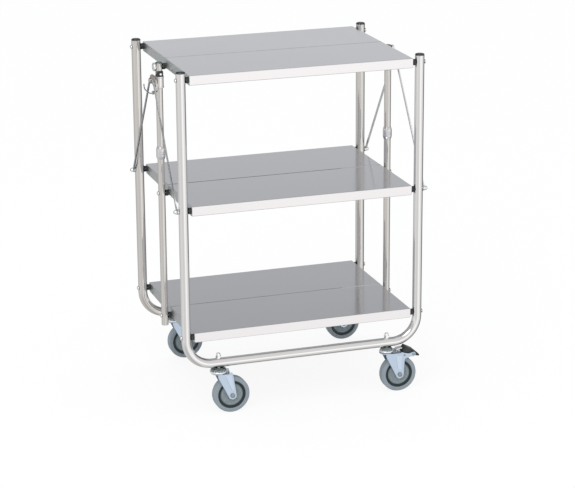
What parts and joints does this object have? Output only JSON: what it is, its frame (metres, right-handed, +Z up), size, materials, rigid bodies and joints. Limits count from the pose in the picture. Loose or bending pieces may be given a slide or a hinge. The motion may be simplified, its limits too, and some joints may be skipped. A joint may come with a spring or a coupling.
{
  "type": "folding serving trolley",
  "caption": "Folding serving trolley: bent tube frames on casters, joined by hinged shelf pans, centre posts, sliding sleeves and stays, so that it folds flat.",
  "frame": {"origin": "on the floor, at the middle of the trolley's footprint", "axes": "+X along the trolley to its right-hand end, +Y to its rear, +Z up"},
  "size_m": [0.7076, 0.498, 0.9412],
  "materials": {
    "polished_steel": "polished",
    "sheet_steel": "satin",
    "slider_steel": "satin",
    "zinc_steel": "bright zinc plate",
    "black_plastic": "satin",
    "tyre": "matte grey",
    "wheel_plastic": "satin grey"
  },
  "bodies": {
    "front_frame": {"front_frame_tube": "polished_steel", "front_left_end_cap": "polished_steel", "front_left_pivot_bolt_bottom": "black_plastic", "front_left_pivot_bolt_middle": "black_plastic", "front_left_pivot_bolt_top": "black_plastic", "front_left_caster_head": "zinc_steel", "front_right_end_cap": "polished_steel", "front_right_pivot_bolt_bottom": "black_plastic", "front_right_pivot_bolt_middle": "black_plastic", "front_right_pivot_bolt_top": "black_plastic", "front_right_caster_head": "zinc_steel"},
    "rear_frame": {"rear_frame_tube": "polished_steel", "rear_left_end_cap": "polished_steel", "rear_left_pivot_bolt_bottom": "black_plastic", "rear_left_pivot_bolt_middle": "black_plastic", "rear_left_pivot_bolt_top": "black_plastic", "rear_left_caster_head": "zinc_steel", "rear_right_end_cap": "polished_steel", "rear_right_pivot_bolt_bottom": "black_plastic", "rear_right_pivot_bolt_middle": "black_plastic", "rear_right_pivot_bolt_top": "black_plastic", "rear_right_caster_head": "zinc_steel"},
    "front_pan_bottom_body": {"front_pan_bottom": "sheet_steel"},
    "front_pan_middle_body": {"front_pan_middle": "sheet_steel"},
    "front_pan_top_body": {"front_pan_top": "sheet_steel"},
    "rear_pan_bottom_body": {"rear_pan_bottom": "sheet_steel"},
    "rear_pan_middle_body": {"rear_pan_middle": "sheet_steel"},
    "rear_pan_top_body": {"rear_pan_top": "sheet_steel"},
    "centre_posts": {"centre_post_left": "polished_steel", "centre_post_right": "polished_steel", "stop_collar_left": "polished_steel", "stop_collar_right": "polished_steel", "centre_left_pivot_bolt_bottom": "black_plastic", "centre_left_pivot_bolt_middle": "black_plastic", "centre_left_pivot_bolt_top": "black_plastic", "centre_right_pivot_bolt_bottom": "black_plastic", "centre_right_pivot_bolt_middle": "black_plastic", "centre_right_pivot_bolt_top": "black_plastic"},
    "front_stay_left_body": {"front_stay_left": "polished_steel"},
    "front_stay_right_body": {"front_stay_right": "polished_steel"},
    "rear_stay_left_body": {"rear_stay_left": "polished_steel"},
    "rear_stay_right_body": {"rear_stay_right": "polished_steel"},
    "slider_left_body": {"slider_left": "slider_steel"},
    "slider_right_body": {"slider_right": "slider_steel"},
    "release_button_body": {"release_button": "polished_steel"},
    "stay_hook_body": {"stay_hook": "polished_steel"},
    "front_left_fork_body": {"front_left_caster_fork": "zinc_steel"},
    "front_left_wheel_body": {"front_left_wheel_core": "wheel_plastic", "front_left_tyre": "tyre"},
    "front_right_fork_body": {"front_right_caster_fork": "zinc_steel"},
    "front_right_wheel_body": {"front_right_wheel_core": "wheel_plastic", "front_right_tyre": "tyre"},
    "front_right_brake_body": {"front_right_brake_pedal": "black_plastic"},
    "rear_left_fork_body": {"rear_left_caster_fork": "zinc_steel"},
    "rear_left_wheel_body": {"rear_left_wheel_core": "wheel_plastic", "rear_left_tyre": "tyre"},
    "rear_right_fork_body": {"rear_right_caster_fork": "zinc_steel"},
    "rear_right_wheel_body": {"rear_right_wheel_core": "wheel_plastic", "rear_right_tyre": "tyre"},
    "rear_right_brake_body": {"rear_right_brake_pedal": "black_plastic"}
  },
  "joints": [
    {"name": "fold", "type": "hinge", "parent": "front_frame", "child": "front_pan_top_body", "pos_m": [0, -0.225, 0.918], "axis": [1, 0, 0], "range_deg": [0, 70]},
    {"name": "front_pan_middle_turn", "type": "hinge", "parent": "front_frame", "child": "front_pan_middle_body", "pos_m": [0, -0.225, 0.57], "axis": [1, 0, 0], "range_deg": [0, 70]},
    {"name": "front_pan_bottom_turn", "type": "hinge", "parent": "front_frame", "child": "front_pan_bottom_body", "pos_m": [0, -0.225, 0.222], "axis": [1, 0, 0], "range_deg": [0, 70]},
    {"name": "centre_posts_rise", "type": "hinge", "parent": "front_pan_top_body", "child": "centre_posts", "pos_m": [0, 0, 0.908], "axis": [1, 0, 0], "range_deg": [-70, 0]},
    {"name": "rear_pan_top_turn", "type": "hinge", "parent": "centre_posts", "child": "rear_pan_top_body", "pos_m": [0, 0, 0.908], "axis": [1, 0, 0], "range_deg": [-70, 0]},
    {"name": "rear_pan_middle_turn", "type": "hinge", "parent": "centre_posts", "child": "rear_pan_middle_body", "pos_m": [0, 0, 0.56], "axis": [1, 0, 0], "range_deg": [-70, 0]},
    {"name": "rear_pan_bottom_turn", "type": "hinge", "parent": "centre_posts", "child": "rear_pan_bottom_body", "pos_m": [0, 0, 0.212], "axis": [1, 0, 0], "range_deg": [-70, 0]},
    {"name": "rear_frame_swing", "type": "hinge", "parent": "rear_pan_top_body", "child": "rear_frame", "pos_m": [0, 0.225, 0.918], "axis": [1, 0, 0], "range_deg": [0, 70]},
    {"name": "front_stay_left_turn", "type": "hinge", "parent": "front_frame", "child": "front_stay_left_body", "pos_m": [-0.345, -0.225, 0.57], "axis": [1, 0, 0], "range_deg": [0, 24]},
    {"name": "front_stay_right_turn", "type": "hinge", "parent": "front_frame", "child": "front_stay_right_body", "pos_m": [0.345, -0.225, 0.57], "axis": [1, 0, 0], "range_deg": [0, 24]},
    {"name": "rear_stay_left_turn", "type": "hinge", "parent": "rear_frame", "child": "rear_stay_left_body", "pos_m": [-0.345, 0.225, 0.57], "axis": [1, 0, 0], "range_deg": [-24, 0]},
    {"name": "rear_stay_right_turn", "type": "hinge", "parent": "rear_frame", "child": "rear_stay_right_body", "pos_m": [0.345, 0.225, 0.57], "axis": [1, 0, 0], "range_deg": [-24, 0]},
    {"name": "slider_left_slide", "type": "slide", "parent": "centre_posts", "child": "slider_left_body", "axis": [0, 0, -1], "range_m": [0, 0.1606]},
    {"name": "slider_right_slide", "type": "slide", "parent": "centre_posts", "child": "slider_right_body", "axis": [0, 0, -1], "range_m": [0, 0.1606]},
    {"name": "release_button_press", "type": "slide", "parent": "centre_posts", "child": "release_button_body", "axis": [0, 1, 0], "range_m": [0, 0.003], "stiffness_N_per_m": 400, "springref_m": -0.001},
    {"name": "stay_hook_lift", "type": "hinge", "parent": "front_stay_left_body", "child": "stay_hook_body", "pos_m": [-0.3504, -0.0347, 0.8466], "axis": [1, 0, 0], "range_deg": [0, 60]},
    {"name": "front_left_caster_swivel", "type": "hinge", "parent": "front_frame", "child": "front_left_fork_body", "pos_m": [-0.24, -0.225, 0.112], "axis": [0, 0, 1], "continuous": true},
    {"name": "front_left_wheel_roll", "type": "hinge", "parent": "front_left_fork_body", "child": "front_left_wheel_body", "pos_m": [-0.207, -0.225, 0.05], "axis": [0, 1, 0], "continuous": true},
    {"name": "front_right_caster_swivel", "type": "hinge", "parent": "front_frame", "child": "front_right_fork_body", "pos_m": [0.24, -0.225, 0.112], "axis": [0, 0, 1], "continuous": true},
    {"name": "front_right_wheel_roll", "type": "hinge", "parent": "front_right_fork_body", "child": "front_right_wheel_body", "pos_m": [0.273, -0.225, 0.05], "axis": [0, 1, 0], "continuous": true},
    {"name": "front_right_brake_press", "type": "hinge", "parent": "front_right_fork_body", "child": "front_right_brake_body", "pos_m": [0.286, -0.225, 0.105], "axis": [0, 1, 0], "range_deg": [0, 15]},
    {"name": "rear_left_caster_swivel", "type": "hinge", "parent": "rear_frame", "child": "rear_left_fork_body", "pos_m": [-0.24, 0.225, 0.112], "axis": [0, 0, 1], "continuous": true},
    {"name": "rear_left_wheel_roll", "type": "hinge", "parent": "rear_left_fork_body", "child": "rear_left_wheel_body", "pos_m": [-0.207, 0.225, 0.05], "axis": [0, 1, 0], "continuous": true},
    {"name": "rear_right_caster_swivel", "type": "hinge", "parent": "rear_frame", "child": "rear_right_fork_body", "pos_m": [0.24, 0.225, 0.112], "axis": [0, 0, 1], "continuous": true},
    {"name": "rear_right_wheel_roll", "type": "hinge", "parent": "rear_right_fork_body", "child": "rear_right_wheel_body", "pos_m": [0.273, 0.225, 0.05], "axis": [0, 1, 0], "continuous": true},
    {"name": "rear_right_brake_press", "type": "hinge", "parent": "rear_right_fork_body", "child": "rear_right_brake_body", "pos_m": [0.286, 0.225, 0.105], "axis": [0, 1, 0], "range_deg": [0, 15]}
  ],
  "couplings": [
    {"joint": "front_pan_middle_turn", "follows": "fold", "ratio": 1},
    {"joint": "front_pan_bottom_turn", "follows": "fold", "ratio": 1},
    {"joint": "centre_posts_rise", "follows": "fold", "ratio": -1},
    {"joint": "rear_pan_top_turn", "follows": "fold", "ratio": -1},
    {"joint": "rear_pan_middle_turn", "follows": "fold", "ratio": -1},
    {"joint": "rear_pan_bottom_turn", "follows": "fold", "ratio": -1},
    {"joint": "rear_frame_swing", "follows": "fold", "ratio": 1},
    {"joint": "front_stay_left_turn", "follows": "fold", "ratio": 0.3422},
    {"joint": "front_stay_right_turn", "follows": "fold", "ratio": 0.3422},
    {"joint": "rear_stay_left_turn", "follows": "fold", "ratio": -0.3422},
    {"joint": "rear_stay_right_turn", "follows": "fold", "ratio": -0.3422},
    {"joint": "slider_left_slide", "follows": "fold", "m_per_rad": 0.13133},
    {"joint": "slider_right_slide", "follows": "fold", "m_per_rad": 0.13133}
  ]
}
